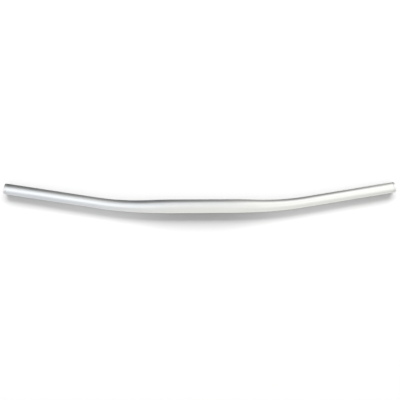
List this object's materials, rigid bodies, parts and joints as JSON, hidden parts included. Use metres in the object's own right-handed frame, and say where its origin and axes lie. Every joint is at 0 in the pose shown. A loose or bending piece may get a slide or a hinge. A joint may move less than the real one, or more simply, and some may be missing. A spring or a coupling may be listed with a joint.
{
  "type": "handlebar",
  "caption": "Low tapered motorcycle handlebar: a bent aluminium tube, thick at the clamp and slim at the grips, closed by turned plugs on O-rings.",
  "frame": {"origin": "centre of the clamp zone, on the bar's axis", "axes": "+X along the bar to the right plug, +Y the way the grips sweep back towards the rider, +Z square to the plane that the bar is bent in"},
  "size_m": [0.82, 0.0633, 0.0286],
  "materials": {
    "satin_aluminium": "bead-blasted and clear anodised, satin, with faint lengthwise draw lines",
    "turned_aluminium": "fine turned, clear anodised, with faint rings from the lathe",
    "black_rubber": "moulded nitrile rubber, semi-matt, with a fine parting line"
  },
  "bodies": {
    "bar": {"bar_tube": "satin_aluminium"},
    "left_plug": {"left_end_plug": "turned_aluminium", "left_outer_o_ring": "black_rubber", "left_inner_o_ring": "black_rubber"},
    "right_plug": {"right_end_plug": "turned_aluminium", "right_outer_o_ring": "black_rubber", "right_inner_o_ring": "black_rubber"}
  },
  "joints": [
    {"name": "left_plug_pull", "type": "slide", "parent": "bar", "child": "left_plug", "axis": [-0.9877, 0.1564, 0], "range_m": [0, 0.022]},
    {"name": "right_plug_pull", "type": "slide", "parent": "bar", "child": "right_plug", "axis": [0.9877, 0.1564, 0], "range_m": [0, 0.022]}
  ]
}
